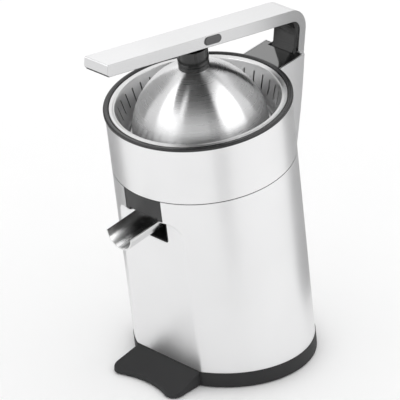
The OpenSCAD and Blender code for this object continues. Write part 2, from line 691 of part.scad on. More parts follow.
module column_side(inset, top) polygon(concat(
    [for (i = [0:10]) let (s = column_low_s + (top - column_low_s) * i / 10) [column_v(s) - inset, s]],
    [[0, top], [0, column_low_s]]));

module hinge_column() color(steel) lean() difference() {
    side_extrude(2 * column_half_w) column_side(0, column_top_s);
    side_extrude(2 * (column_half_w - column_t)) column_side(column_t, column_top_s + 5);
    translate([0, 0, -10]) cylinder(r = shell_r + seat_gap, h = rim_s + 50, $fn = 180);
    translate([0, 0, ring_s - seat_gap]) cylinder(r = rim_r + seat_gap, h = 20, $fn = 180);
    translate([-slot_half_w, hinge_v, notch_s]) cube([2 * slot_half_w, 40, 60]);
}

module column_cover() color(black) lean() difference() {
    translate([0, 0, column_top_s - 1.5]) linear_extrude(1.5) difference() {
        translate([-column_half_w + column_t + seat_gap, 0])
            square([2 * (column_half_w - column_t - seat_gap), column_v(column_top_s) - column_t - 0.5]);
        circle(r = rim_r + 0.3, $fn = 180);
        translate([-slot_half_w, hinge_v + 6.3]) square([2 * slot_half_w, 60]);
    }
}

ear_x = slot_half_w + 0.4;
ear_t = 3.5;

module hinge_bracket() color(grey) lean() difference() {
    union() {
        translate([-ear_x - ear_t, 0, bracket_low_s]) cube([2 * (ear_x + ear_t), shell_r + 5.4, hinge_s + 11 - bracket_low_s]);
        for (side = [-1, 1]) translate([side * (ear_x + ear_t / 2), 0, 0]) {
            side_extrude(ear_t) polygon([[shell_r, bracket_low_s], [shell_r, hinge_s + 11],
                [hinge_v - 3, hinge_s + 11], [hinge_v, hinge_s], [shell_r + 8, bracket_low_s]]);
            translate([0, hinge_v, hinge_s]) cross_rod(7.2, ear_t, $fn = 64);
        }
    }
    translate([0, 0, 0]) cylinder(r = shell_r + seat_gap, h = rim_s + 20, $fn = 180);
    translate([0, hinge_v, hinge_s]) cross_rod(5.5, 60, $fn = 64);
    bracket_holes(screw_r + run_gap);
}

// The four bracket screws run rearward from inside the upper shell
module bracket_holes(r) for (x = [-11, 11]) for (s = [bracket_low_s + 6, hinge_s + 4])
    translate([x, shell_r + 8, s]) rotate([90, 0, 0]) cylinder(r = r, h = 20, $fn = 32);

module bracket_screws() color(steel) lean() for (x = [-11, 11]) for (s = [bracket_low_s + 6, hinge_s + 4])
    translate([x, shell_in_r - 3.25, s]) rotate([-90, 0, 0]) pan_screw(3.2, 1.8, screw_r, 7.5, $fn = 32);

module hinge_pin() color(steel) lean() translate([0, hinge_v, hinge_s]) cross_rod(pin_r, 2 * (ear_x + ear_t) + 2, $fn = 64);

module hinge_bushes() color(black) lean() translate([0, hinge_v, hinge_s]) for (side = [0, 180]) rotate([0, 0, side])
    translate([ear_x - 1.2, 0, 0]) rotate([0, 90, 0]) difference() {
        union() {
            cylinder(r = 7, h = 1.1, $fn = 64);
            cylinder(r = 5.48, h = ear_t + 1.2, $fn = 64);
        }
        translate([0, 0, -1]) cylinder(r = pin_r + 0.02, h = 20, $fn = 64);
    }

// ---------------------------------------------------------------- lever

module arm_profile() polygon(concat([[leg_front, leg_low], [leg_back, leg_low]],
    arc(leg_back - bend_r, arm_top - bend_r, bend_r, 0, 90, 12),
    arc(-arm_len + nose_r, arm_top - nose_r, nose_r, 90, 180, 5),
    arc(-arm_len + nose_r, bar_low + nose_r, nose_r, 180, 270, 5),
    arc(leg_front - inner_bend_r, bar_low - inner_bend_r, inner_bend_r, 90, 0, 8)));

module arm_cavity() polygon(concat([[leg_front - 12, leg_low - 1], [leg_back - skin_t, leg_low - 1]],
    arc(leg_back - bend_r, arm_top - bend_r, bend_r - skin_t, 0, 90, 12),
    [[-arm_len + skin_t, arm_top - skin_t], [-arm_len + skin_t, bar_low - 1], [leg_front - 12, bar_low - 1]]));

module button_ovals(len, h, w) translate([0, socket_y, button_z]) side_extrude(w) oval(len, h);

module lever_skin() color(bright) lever_frame() difference() {
    side_extrude(2 * arm_half_w) arm_profile();
    side_extrude(2 * (arm_half_w - skin_t)) arm_cavity();
    button_ovals(button_len + 0.4, button_h + 0.4, 60);
}

module liner_profile() {
    polygon(concat([[0, hub_r * 0.7], [hub_r * 0.75, -hub_r * 0.35], [leg_back - skin_t - seat_gap, 12]],
        arc(leg_back - bend_r, arm_top - bend_r, bend_r - skin_t - seat_gap, 0, 90, 12),
        [[leg_back - bend_r, liner_top], [-arm_len + skin_t + seat_gap, liner_top],
        [-arm_len + skin_t + seat_gap, liner_low + 0.9], [-arm_len + 3, liner_low]],
        arc(liner_front - 7, liner_low - 7, 7, 90, 0, 8), [[liner_front, 20]]));
    circle(r = hub_r);
}

module lever_liner() color(black) difference() {
    lever_frame() difference() {
        union() {
            side_extrude(2 * (arm_half_w - skin_t - seat_gap)) liner_profile();
            translate([-socket_half_w, socket_y - 9, liner_top - eps])
                cube([2 * socket_half_w, 18, arm_top - skin_t - seat_gap - liner_top]);
        }
        cross_rod(pin_r + run_gap, 40, $fn = 64);
    }
    lean() translate([0, 0, neck_low_s]) cylinder(r = spigot_r + seat_gap, h = 60, $fn = 48);
}

// Solid dome of radius r and height h, standing on level s0
module dome(r, h, s0) rotate_extrude($fn = 120) polygon(concat([[0, s0]], dome_curve(r, h, s0)));

module press_hood() color(steel) lean() difference() {
    dome(hood_r, hood_h, hood_s);
    dome(hood_r - hood_t, hood_h - hood_t, hood_s - eps);
    translate([0, 0, hood_s]) cylinder(r = 2.2, h = hood_h + 5, $fn = 32);
}

module hood_neck() color(black) difference() {
    union() {
        difference() {
            lean() translate([0, 0, neck_low_s]) cylinder(r1 = neck_r - 0.5, r2 = neck_r, h = 60);
            lever_frame() translate([-60, -arm_len - 20, liner_low - seat_gap]) cube([120, arm_len + 60, 80]);
        }
        difference() {
            lean() translate([0, 0, neck_low_s]) cylinder(r = spigot_r, h = 60, $fn = 48);
            lever_frame() translate([-60, -arm_len - 20, arm_top - skin_t - 1]) cube([120, arm_len + 60, 80]);
        }
    }
    lean() dome(hood_r, hood_h, hood_s);
    lean() translate([0, 0, neck_low_s - 1]) cylinder(r = 2.2, h = 16, $fn = 32);
}

module hood_screw() color(steel) lean() translate([0, 0, hood_s + hood_h - hood_t - 2.9]) pan_screw(4.5, 2.4, 2.1, 12, $fn = 32);

module release_button() difference() {
    translate([arm_half_w - 1.7, 0, 0]) side_extrude(3) oval(button_len, button_h);
    translate([arm_half_w - 4, 0, 0]) rotate([0, 90, 0]) cylinder(r = 2.2, h = 2.2, $fn = 32);
}

module button_spring() translate([socket_half_w + 0.05, 0, 0]) rotate([0, 90, 0])
    coil(1.5, 0.25, arm_half_w - 1.85 - socket_half_w - 0.05, 4);

module on_right() lever_frame() translate([0, socket_y, button_z]) children();
module on_left() lever_frame() translate([0, socket_y, button_z]) mirror([1, 0, 0]) children();

module release_button_right() color(dark) on_right() release_button();
module release_button_left() color(dark) on_left() release_button();
module button_spring_right() color(steel) on_right() button_spring();
module button_spring_left() color(steel) on_left() button_spring();

base_tray();
rubber_feet();
base_screws();
lower_shell();
upper_shell();
seam_ring();
rim_ring();
window_panel();
spout_housing();
spout();
spout_pins();
cord_gland();
chassis();
gearbox_plate();
gearbox_screws();
motor_can();
stator();
rotor();
motor_pinion();
idler_gear();
idler_pin();
output_gear();
output_bush();
spindle();
spindle_spring();
start_switch();
switch_plunger();
rectifier_board();
board_screws();
juice_collector();
chimney_seal();
strainer_basket();
reamer();
hinge_column();
column_cover();
hinge_bracket();
bracket_screws();
hinge_pin();
hinge_bushes();
lever_skin();
lever_liner();
press_hood();
hood_neck();
hood_screw();
release_button_right();
release_button_left();
button_spring_right();
button_spring_left();
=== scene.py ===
import json
import math

import bmesh
import bpy
from mathutils import Matrix, Vector


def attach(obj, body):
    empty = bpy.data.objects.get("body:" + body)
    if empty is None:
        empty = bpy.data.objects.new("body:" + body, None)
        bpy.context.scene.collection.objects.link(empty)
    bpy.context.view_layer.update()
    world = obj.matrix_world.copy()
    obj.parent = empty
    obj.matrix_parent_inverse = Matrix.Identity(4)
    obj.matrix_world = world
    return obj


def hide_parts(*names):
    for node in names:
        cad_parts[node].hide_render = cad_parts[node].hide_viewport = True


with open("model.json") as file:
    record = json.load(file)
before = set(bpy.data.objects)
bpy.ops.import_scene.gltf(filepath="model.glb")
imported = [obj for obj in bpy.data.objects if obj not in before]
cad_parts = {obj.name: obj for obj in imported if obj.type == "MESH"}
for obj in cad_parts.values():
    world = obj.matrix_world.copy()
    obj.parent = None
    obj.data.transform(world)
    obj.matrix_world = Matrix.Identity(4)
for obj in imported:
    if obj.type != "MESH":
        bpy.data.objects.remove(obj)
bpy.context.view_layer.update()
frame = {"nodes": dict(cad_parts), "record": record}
MM = 0.001

# ---------------------------------------------------------------- frames
# In a leaning frame, v runs to the back of the object and s runs up its leaning axis, both in millimetres.
AXIS_Y = 33.209
LEAN_DEG, TILT_DEG, SLOPE_DEG = 8.24, 13.5, 1.8
HINGE_V, HINGE_S = 90, 217
SPOUT_V, SPOUT_S = -60, 161.8


def place(y, z, turn=0.0):
    """A frame at y, z of its parent, in millimetres, turned about x by degrees."""
    return Matrix.Translation((0, y * MM, z * MM)) @ Matrix.Rotation(math.radians(turn), 4, "X")


LEAN_SIN, LEAN_COS = math.sin(math.radians(LEAN_DEG)), math.cos(math.radians(LEAN_DEG))
WORLD = place(AXIS_Y, 0)
LEAN = place(AXIS_Y, 0, LEAN_DEG)
LEVER = LEAN @ place(HINGE_V, HINGE_S, -TILT_DEG)
SPOUT = LEAN @ place(SPOUT_V, SPOUT_S, SLOPE_DEG)

# ---------------------------------------------------------------- materials
FINE_SCALE, BROAD_SCALE, BROAD_DETAIL = 20.0, 14.0, 2.0
COAT_ROUGHNESS, LOWEST_ROUGHNESS = 0.12, 0.02
BUMP_DISTANCE = 0.0004


def noise_texture(tree, vector, scale, detail):
    noise = tree.nodes.new("ShaderNodeTexNoise")
    noise.inputs["Scale"].default_value = scale
    noise.inputs["Detail"].default_value = detail
    tree.links.new(vector, noise.inputs["Vector"])
    return noise.outputs["Fac"]


def material(name, base, metallic=0.0, rough=0.4, spread=0.06, grain=(40, 40, 40), bump=0.02, detail=3.0,
             anisotropic=0.0, tone=0.04, coat=0.0, specular=0.5, turn=0.0):
    """Fine noise, stretched by grain, varies the roughness by spread and raises the bump. Broad noise varies
    the colour by tone. An anisotropic metal has its tangent round the z axis, rotated by turn."""
    made = bpy.data.materials.new(name)
    made.use_nodes = True
    tree = made.node_tree
    link = tree.links.new
    shader = tree.nodes["Principled BSDF"].inputs
    shader["Metallic"].default_value = metallic
    shader["Specular IOR Level"].default_value = specular
    shader["Coat Weight"].default_value = coat
    shader["Coat Roughness"].default_value = COAT_ROUGHNESS
    place_on_object = tree.nodes.new("ShaderNodeTexCoord").outputs["Object"]
    stretch = tree.nodes.new("ShaderNodeMapping")
    stretch.inputs["Scale"].default_value = grain
    link(place_on_object, stretch.inputs["Vector"])
    fine = noise_texture(tree, stretch.outputs["Vector"], FINE_SCALE, detail)
    broad = noise_texture(tree, place_on_object, BROAD_SCALE, BROAD_DETAIL)

    roughness = tree.nodes.new("ShaderNodeMapRange")
    roughness.inputs["To Min"].default_value = max(LOWEST_ROUGHNESS, rough - spread)
    roughness.inputs["To Max"].default_value = rough + spread
    link(fine, roughness.inputs["Value"])
    link(roughness.outputs["Result"], shader["Roughness"])

    colour = tree.nodes.new("ShaderNodeMix")
    colour.data_type = "RGBA"
    colour.inputs["A"].default_value = (*[c * (1 - tone) for c in base], 1)
    colour.inputs["B"].default_value = (*[min(1.0, c * (1 + tone)) for c in base], 1)
    link(broad, colour.inputs["Factor"])
    link(colour.outputs["Result"], shader["Base Color"])

    relief = tree.nodes.new("ShaderNodeBump")
    relief.inputs["Strength"].default_value = bump
    relief.inputs["Distance"].default_value = BUMP_DISTANCE
    link(fine, relief.inputs["Height"])
    link(relief.outputs["Normal"], shader["Normal"])

    if anisotropic:
        tangent = tree.nodes.new("ShaderNodeTangent")
        tangent.direction_type = "RADIAL"
        tangent.axis = "Z"
        link(tangent.outputs["Tangent"], shader["Tangent"])
        shader["Anisotropic"].default_value = anisotropic
        shader["Anisotropic Rotation"].default_value = turn
    return made


def grey(level, blue=0.0):
    return (level, level, level + blue)


# The numbers are metallic, roughness and its spread, grain along x, y and z, bump, and detail of the noise.
steel_body = material("brushed_body", grey(0.86, 0.004), 1.0, 0.34, 0.025, (1, 1, 60), 0.004, 4,
                      anisotropic=0.5, turn=0.25)
steel_hood = material("turned_hood", grey(0.7, 0.005), 1.0, 0.28, 0.03, (1, 1, 90), 0.004, 4,
                      anisotropic=0.97, turn=0.25)
steel_bright = material("bright_sheet", grey(0.78), 1.0, 0.26, 0.04, (30, 4, 30), 0.01, 3)
steel_lever = material("satin_lever", grey(0.7, 0.005), 1.0, 0.24, 0.04, (60, 3, 60), 0.01, 3)
steel_column = material("satin_column", grey(0.76, 0.005), 1.0, 0.33, 0.04, (60, 60, 3), 0.01, 3)
steel_strainer = material("strainer_sheet", grey(0.66), 1.0, 0.3, 0.05, (20, 20, 20), 0.02, 3)
steel_screws = material("plated_steel", grey(0.72, 0.01), 1.0, 0.25, 0.06, (60, 60, 60), 0.03, 3)
steel_motor = material("motor_steel", grey(0.45, 0.01), 0.8, 0.42, 0.06, (30, 30, 30), 0.04, 3)
# A near-black metal for rounded edges: a painted dark reflection line that outlines the lever and the
# column.
painted_dark_edge = material("painted_dark_edge", grey(0.1), 1.0, 0.25, 0.04, (40, 40, 40), 0.01, 2)
brass = material("machined_brass", (0.72, 0.58, 0.32), 1.0, 0.3, 0.06, (50, 50, 50), 0.03, 3)
bracket_cast = material("cast_bracket", grey(0.22, 0.01), 0.7, 0.5, 0.08, (60, 60, 60), 0.12, 4)
black_base = material("moulded_black", grey(0.024, 0.001), 0.0, 0.62, 0.05, (90, 90, 90), 0.12, 5,
                      tone=0.08, specular=0.3)
black_satin = material("satin_black", grey(0.016, 0.001), 0.0, 0.26, 0.05, (60, 60, 60), 0.03, 3)
black_gloss = material("gloss_black", grey(0.012), 0.0, 0.09, 0.03, (40, 40, 40), 0.01, 2, coat=0.3)
cover_gloss = material("cover_gloss", grey(0.012), 0.0, 0.06, 0.02, (40, 40, 40), 0.01, 2,
                       coat=1.0, specular=1.0)
black_matt = material("matt_black", grey(0.008), 0.0, 0.6, 0.05, (80, 80, 80), 0.05, 4, specular=0.25)
window_smoke = material("window_smoke", grey(0.03, 0.001), 0.0, 0.4, 0.04, (50, 50, 50), 0.02, 3)
plastic_dark = material("food_dark", grey(0.035, 0.001), 0.0, 0.36, 0.05, (60, 60, 60), 0.04, 3)
button_grey = material("button_grey", grey(0.09, 0.002), 0.0, 0.38, 0.05, (80, 80, 80), 0.05, 3)
rubber = material("rubber_black", grey(0.02), 0.0, 0.7, 0.08, (90, 90, 90), 0.1, 4, specular=0.3)
nylon = material("nylon_white", (0.72, 0.72, 0.69), 0.0, 0.42, 0.05, (60, 60, 60), 0.04, 3)
board_green = material("board_green", (0.05, 0.17, 0.08), 0.0, 0.38, 0.05, (80, 80, 80), 0.05, 3)
floor_pale = material("pale_floor", grey(0.96), 0.0, 0.9, 0.03, (4, 4, 4), 0.0, 2, tone=0.01, specular=0.1)


def flag_cloth(name, level):
    return material(name, grey(level), 0.0, 0.9, 0.03, (20, 20, 20), 0.02, 2, specular=0.0)


SLOTS = {
    "base": black_base, "rubber": rubber, "screws": steel_screws, "brushed": steel_body,
    "black_trim": black_satin, "rim": black_satin, "window": window_smoke, "black_inner": black_matt,
    "polished": steel_bright, "inner_white": nylon, "motor": steel_motor, "brass": brass,
    "board": board_green, "collector": plastic_dark, "strainer": steel_strainer, "reamer": plastic_dark,
    "column": steel_column, "cover": cover_gloss, "bracket": bracket_cast, "lever": steel_lever,
    "hood": steel_hood, "neck": black_gloss, "button": button_grey,
}
slot_of = {p["node"]: p["material_slot"] for p in frame["record"]["subparts"]}
for node, obj in frame["nodes"].items():
    obj.data.materials.clear()
    obj.data.materials.append(SLOTS[slot_of[node]])


# ---------------------------------------------------------------- geometry helpers, in mm and degrees
SMOOTH_ANGLE, ROUND_SMOOTH = 32, 40
ROUND_STEPS = 240


def polar_point(r, angle, cx=0.0, cy=0.0):
    return (cx + r * math.cos(math.radians(angle)), cy + r * math.sin(math.radians(angle)))


def arc(cx, cy, r, a0, a1, n=16):
    return [polar_point(r, a0 + (a1 - a0) * i / n, cx, cy) for i in range(n + 1)]


def circle(cx, cy, r, n):
    return arc(cx, cy, r, 0, 360, n)[:-1]


def oval(length, height, n=12):
    end = (length - height) / 2
    return arc(end, 0, height / 2, -90, 90, n) + arc(-end, 0, height / 2, 90, 270, n)


def shifted(outline, dx, dy):
    return [(dx + x, dy + y) for x, y in outline]


def line(x0, y0, x1, y1, n):
    return [(x0 + (x1 - x0) * i / n, y0 + (y1 - y0) * i / n) for i in range(n + 1)]


def rectangle(x0, y0, x1, y1):
    return [(x0, y0), (x1, y0), (x1, y1), (x0, y1)]


def shade(mesh, smooth):
    mesh.shade_smooth()
    mesh.set_sharp_from_angle(angle=math.radians(smooth))


def build(name, verts, faces, space, smooth=SMOOTH_ANGLE):
    mesh = bpy.data.meshes.new(name)
    mesh.from_pydata([tuple(c * MM for c in v) for v in verts], [], faces)
    bm = bmesh.new()
    bm.from_mesh(mesh)
    bmesh.ops.remove_doubles(bm, verts=bm.verts, dist=1e-6)
    bmesh.ops.recalc_face_normals(bm, faces=bm.faces)
    bm.to_mesh(mesh)
    bm.free()
    shade(mesh, smooth)
    obj = bpy.data.objects.new(name, mesh)
    bpy.context.scene.collection.objects.link(obj)
    obj.matrix_world = space
    return obj


def revolve(name, profile, space, n=ROUND_STEPS, smooth=SMOOTH_ANGLE):
    """A closed (r, s) loop turned all the way about the local z axis."""
    verts, faces, k = [], [], len(profile)
    for i in range(n):
        a = math.radians(360.0 * i / n)
        verts += [(r * math.cos(a), r * math.sin(a), s) for r, s in profile]
        j = (i + 1) % n
        for p in range(k):
            q = (p + 1) % k
            on_axis = profile[p][0] < 1e-6 and profile[q][0] < 1e-6
            if not on_axis:
                faces.append((i * k + p, j * k + p, j * k + q, i * k + q))
    return build(name, verts, faces, space, smooth)


def prism(name, outline, half, space, axis="x", smooth=SMOOTH_ANGLE):
    """A flat outline given thickness along an axis. half is half the thickness, or its (low, high) ends.
    The outline is in (y, z) for axis x, (x, z) for axis y and (x, y) for axis z."""
    low, high = half if isinstance(half, tuple) else (-half, half)
    k = len(outline)
    if axis == "x":
        verts = [(end, a, b) for end in (low, high) for a, b in outline]
    elif axis == "y":
        verts = [(a, end, b) for end in (low, high) for a, b in outline]
    else:
        verts = [(a, b, end) for end in (low, high) for a, b in outline]
    faces = [tuple(range(k)), tuple(range(2 * k - 1, k - 1, -1))]
    faces += [(i, (i + 1) % k, (i + 1) % k + k, i + k) for i in range(k)]
    return build(name, verts, faces, space, smooth)


def boolean(obj, cutter, mode="DIFFERENCE", smooth=SMOOTH_ANGLE):
    """Cuts the cutter from obj, or joins it for mode UNION, and removes the cutter."""
    mod = obj.modifiers.new("cut", "BOOLEAN")
    mod.operation = mode
    mod.solver = "EXACT"
    mod.object = cutter
    bpy.context.view_layer.update()
    made = bpy.data.meshes.new_from_object(obj.evaluated_get(bpy.context.evaluated_depsgraph_get()))
    obj.modifiers.clear()
    old = obj.data
    obj.data = made
    bpy.data.meshes.remove(old)
    bpy.data.objects.remove(cutter)
    shade(obj.data, smooth)


def bevel(obj, width, segments=3, angle=35, edge=-1):
    """Rounds the sharp edges. edge is the rounding's material index, or -1 for the material beside it."""
    mod = obj.modifiers.new("bevel", "BEVEL")
    mod.width = width * MM
    mod.segments = segments
    mod.limit_method = "ANGLE"
    mod.angle_limit = math.radians(angle)
    mod.harden_normals = True
    mod.material = edge
    mod.use_clamp_overlap = True


def finish_piece(obj, body, slot, nodes, mat=None):
    """Gives a piece its material, the slot's own unless mat is given, hangs it on its body and hides the CAD
    nodes that it stands for.
    """
    obj.data.materials.clear()
    obj.data.materials.append(mat or SLOTS[slot])
    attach(obj, body)
    if nodes:
        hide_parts(*nodes)


# ---------------------------------------------------------------- body shells
RIM_R, SHELL_R, FLAT_V = 75.0, 73.8, 64.8
RIM_S, RING_S, SEAM_S, SEAM_GAP = 233.7, 231.2, 182.9, 0.3
SHELL_WALL, BAND_WALL = 1.0, 1.0
FLAT_HALF, FLAT_TOP, FLAT_CORNER = 37.5, 163.5, 19.0
FLAT_BLEND, FLAT_EDGE, FLAT_REACH = 1.4, 4.2, 0.72
BASE_H, LOW_S = 14.25, 20
FRONT_SPAN, FRONT_STEP, BACK_STEPS = 46, 0.7, 108
FINE_S, COARSE_LEVELS, FINE_LEVELS = 128, 16, 64


def smooth_step(t):
    t = min(1.0, max(0.0, t))
    return t * t * (3 - 2 * t)


def signed(angle):
    return angle if angle <= 180 else angle - 360


def front_radius(phi, s):
    """Radius of the drawn shell at height s, where phi is the angle from the front. Its front is a flat with
    round upper corners, blended into the cylinder."""
    c = math.cos(math.radians(phi))
    if c < FLAT_REACH:
        return SHELL_R
    flat = FLAT_V / c
    h = max(FLAT_BLEND - abs(SHELL_R - flat), 0.0) / FLAT_BLEND
    blended = min(SHELL_R, flat) - h * h * FLAT_BLEND / 4
    x = abs(FLAT_V * math.tan(math.radians(phi)))
    qx, qs = x - (FLAT_HALF - FLAT_CORNER), s - (FLAT_TOP - FLAT_CORNER)
    d = min(max(qx, qs), 0.0) + math.hypot(max(qx, 0.0), max(qs, 0.0)) - FLAT_CORNER
    return SHELL_R - (SHELL_R - blended) * smooth_step(-d / FLAT_EDGE)


def shell_column(phi, inner):
    """Points up the shell at one angle, from the level top of the base to the seam."""
    v = -front_radius(phi, LOW_S) * math.cos(math.radians(phi))
    low = (BASE_H - v * LEAN_SIN) / LEAN_COS
    top = SEAM_S - SEAM_GAP
    levels = [low + (FINE_S - low) * i / COARSE_LEVELS for i in range(COARSE_LEVELS)]
    levels += [FINE_S + (top - FINE_S) * i / FINE_LEVELS for i in range(FINE_LEVELS + 1)]
    points = []
    for s in levels:
        r = front_radius(phi, s) - inner
        points.append((r * math.sin(math.radians(phi)), -r * math.cos(math.radians(phi)), s))
    return points


def shell_skin():
    angles = [-FRONT_SPAN + FRONT_STEP * i for i in range(int(2 * FRONT_SPAN / FRONT_STEP) + 1)]
    last = angles[-1]
    angles += [last + (360 - FRONT_SPAN - last) * i / BACK_STEPS for i in range(1, BACK_STEPS)]
    outer = [shell_column(signed(a), 0.0) for a in angles]
    inner = [shell_column(signed(a), SHELL_WALL) for a in angles]
    k, n = len(outer[0]), len(outer)
    verts = [v for column in outer + inner for v in column]
    faces, off = [], n * k
    for i in range(n):
        j = (i + 1) % n
        for p in range(k - 1):
            faces.append((i * k + p, j * k + p, j * k + p + 1, i * k + p + 1))
            faces.append((off + i * k + p, off + i * k + p + 1, off + j * k + p + 1, off + j * k + p))
        for p in (0, k - 1):
            faces.append((i * k + p, off + i * k + p, off + j * k + p, j * k + p))
    return build("body_lower_shell", verts, faces, LEAN)


def lower_shell():
    shell = shell_skin()
    window_half, window_s = 19.8, 163.8
    window = rectangle(-window_half, window_s, window_half, 190)
    boolean(shell, prism("window_cut", window, (-85.0, -60.0), LEAN, "y"))
    throat_half, throat_low, throat_top, corner = 16.9, 139.8, 166.0, 3
    corner_x = throat_half - corner
    throat = [(throat_half, throat_top), (-throat_half, throat_top)]
    throat += arc(-corner_x, throat_low + corner, corner, 180, 270, 8)
    throat += arc(corner_x, throat_low + corner, corner, 270, 360, 8)
    boolean(shell, prism("throat_cut", throat, (-100.0, -58.0), LEAN, "y"))
    gland_r, gland_s, gland_steps = 5.1, 22, 30
    boolean(shell, prism("gland_cut", circle(0, gland_s, gland_r, gland_steps), (60.0, 85.0), LEAN, "y"))
    finish_piece(shell, "housing", "brushed", ["lower_shell"])


def upper_band():
    low, inner = SEAM_S + SEAM_GAP, SHELL_R - BAND_WALL
    profile = [(SHELL_R - 0.15, low), (SHELL_R, low + 0.15), (SHELL_R, 206), (SHELL_R, RING_S),
               (inner, RING_S), (inner, low)]
    finish_piece(revolve("body_upper_band", profile, LEAN), "housing", "brushed", ["upper_shell"])


def rim_ring():
    """The trim ring: a rounded outer lip, a shallow groove on top, and a ledge that holds the strainer."""
    outer_round, inner_round = 0.8, 0.4
    ledge_top, ledge_low = 229.4, 227.6
    profile = [(73.85, RING_S), (74.7, RING_S + 0.05), (RIM_R, RING_S + 0.35)]
    profile += arc(RIM_R - outer_round, RIM_S - outer_round, outer_round, 0, 90, 6)
    profile += [(72.2, RIM_S), (71.9, RIM_S - 0.25), (71.6, RIM_S - 0.25), (71.35, RIM_S)]
    profile += arc(71.3, RIM_S - inner_round, inner_round, 90, 180, 4)
    profile += [(70.9, ledge_top), (67.9, ledge_top), (67.9, ledge_low), (72.7, ledge_low), (72.7, RING_S)]
    ring = revolve("rim_ring_moulded", profile, LEAN, smooth=ROUND_SMOOTH)
    finish_piece(ring, "housing", "rim", ["rim_ring"])


lower_shell()
upper_band()
rim_ring()

# ---------------------------------------------------------------- strainer, hood and neck
SLOT_COUNT, SLOT_HALF = 40, 0.65
WALL_SLOTS, FLOOR_SLOTS = (52.0, 80.0, 215.3, 227.8), (32.1, 50.1, 190.0, 212.0)
BOX_FACES = ((0, 1, 3, 2), (4, 6, 7, 5), (0, 4, 5, 1), (2, 3, 7, 6), (0, 2, 6, 4), (1, 5, 7, 3))


def slot_cutters():
    """A ring of radial boxes through the wall and another through the floor. Each row is r0, r1, s0, s1."""
    verts, faces = [], []
    for i in range(SLOT_COUNT):
        a = math.radians(360 * i / SLOT_COUNT + 90)
        for r0, r1, s0, s1 in (WALL_SLOTS, FLOOR_SLOTS):
            first = len(verts)
            for r in (r0, r1):
                for w in (-SLOT_HALF, SLOT_HALF):
                    x, y = r * math.cos(a) - w * math.sin(a), r * math.sin(a) + w * math.cos(a)
                    verts += [(x, y, s0), (x, y, s1)]
            faces += [tuple(first + q for q in face) for face in BOX_FACES]
    return build("slots", verts, faces, LEAN)


def strainer():
    lip = [(70.4, 232.0), (70.4, 232.9), (70.2, 233.15), (69.8, 233.2), (69.3, 233.0), (67.2, 233.0),
           (66.6, 233.2), (66.2, 233.1)]
    wall = line(65.9, 232.7, 59.2, 207.9, 10)
    floor_inside = [(58.6, 206.2), (57.6, 204.9), (55.8, 204.2), (13.6, 200.9), (12.6, 201.3), (12.4, 202.2)]
    collar = [(12.4, 206.2), (11.6, 206.2), (11.6, 199.9), (12.2, 199.9)]
    outside = [(55.9, 203.4), (58.2, 204.1), (59.4, 205.6), (60.0, 207.4), (66.5, 231.2), (67.2, 232.0)]
    profile = lip + wall + floor_inside + collar + outside
    basket = revolve("strainer_pressed", profile, LEAN, smooth=ROUND_SMOOTH)
    boolean(basket, slot_cutters(), smooth=ROUND_SMOOTH)
    finish_piece(basket, "housing", "strainer", ["strainer_basket"])


HOOD_R, HOOD_H, HOOD_S, HOOD_WALL = 54.4, 56.0, 210.0, 2.0
DOME_POWER, DOME_STEPS = 1.85, 40


def dome(inset):
    """The hood's profile, from its lip up to the axis, as a superellipse."""
    r, h = HOOD_R - inset, HOOD_H - inset
    points = []
    for i in range(DOME_STEPS):
        q = h * math.sin(math.radians(90 * i / DOME_STEPS))
        points.append((r * (1 - (q / h) ** DOME_POWER) ** (1 / DOME_POWER), HOOD_S + q))
    return points + [(0.0, HOOD_S + h)]


def hood():
    lip = [(52.6, HOOD_S), (52.9, HOOD_S - 0.01), (54.1, HOOD_S - 0.01), (54.35, HOOD_S + 0.15)]
    profile = lip + dome(0.0)[1:] + dome(HOOD_WALL)[::-1][:-1]
    finish_piece(revolve("hood_turned", profile, LEAN, 192, ROUND_SMOOTH), "lever", "hood", ["press_hood"])


def neck():
    low, top = 262.0, 281.6
    profile = [(0, low), (9.5, low)] + arc(9.9, 264.3, 2.35, -80, 0, 10)
    profile += [(12.45, 272), (12.6, top), (0, top)]
    finish_piece(revolve("neck_moulded", profile, LEAN, 96, 60), "lever", "neck", ["hood_neck"])


strainer()
hood()
neck()

# ---------------------------------------------------------------- lever, about its hinge pin
ARM_LEN, ARM_TOP, ARM_HALF, BAR_LOW, SKIN = 207.6, 53.1, 12.4, 43.3, 1.2
LEG_BACK, LEG_FRONT, BEND = 17.0, 10.0, 18.5
INSIDE_HALF, LINER_HALF = 11.2, 11.1
SOCKET_Y, BUTTON_Z = -92.515, 48.6


def outer_bend(inset, n):
    return arc(LEG_BACK - BEND, ARM_TOP - BEND, BEND - inset, 0, 90, n)


def lever_skin():
    top_round, low_round, throat_round = 1.2, 3.5, 9
    arm = [(LEG_FRONT, 10), (LEG_BACK, 10)] + outer_bend(0, 28) + [(-60, ARM_TOP), (-130, ARM_TOP)]
    arm += arc(-ARM_LEN + top_round, ARM_TOP - top_round, top_round, 90, 180, 5)
    arm += arc(-ARM_LEN + low_round, BAR_LOW + low_round, low_round, 180, 270, 8)
    arm += [(-130, BAR_LOW), (-60, BAR_LOW)]
    arm += arc(LEG_FRONT - throat_round, BAR_LOW - throat_round, throat_round, 90, 0, 16)
    cavity_y = LEG_FRONT - 12
    cavity = [(cavity_y, 9), (LEG_BACK - SKIN, 9)] + outer_bend(SKIN, 28)
    cavity += [(-ARM_LEN + SKIN, ARM_TOP - SKIN), (-ARM_LEN + SKIN, BAR_LOW - 1), (cavity_y, BAR_LOW - 1)]
    skin = prism("lever_polished", arm, ARM_HALF, LEVER)
    boolean(skin, prism("cavity", cavity, INSIDE_HALF, LEVER))
    boolean(skin, prism("button_slots", shifted(oval(18.4, 7.0), SOCKET_Y, BUTTON_Z), 30, LEVER))
    # The rounded edges take the second material: a painted dark reflection line along the lever's edges.
    bevel(skin, 0.8, edge=1)
    finish_piece(skin, "lever", "lever", ["lever_skin"])
    skin.data.materials.append(painted_dark_edge)


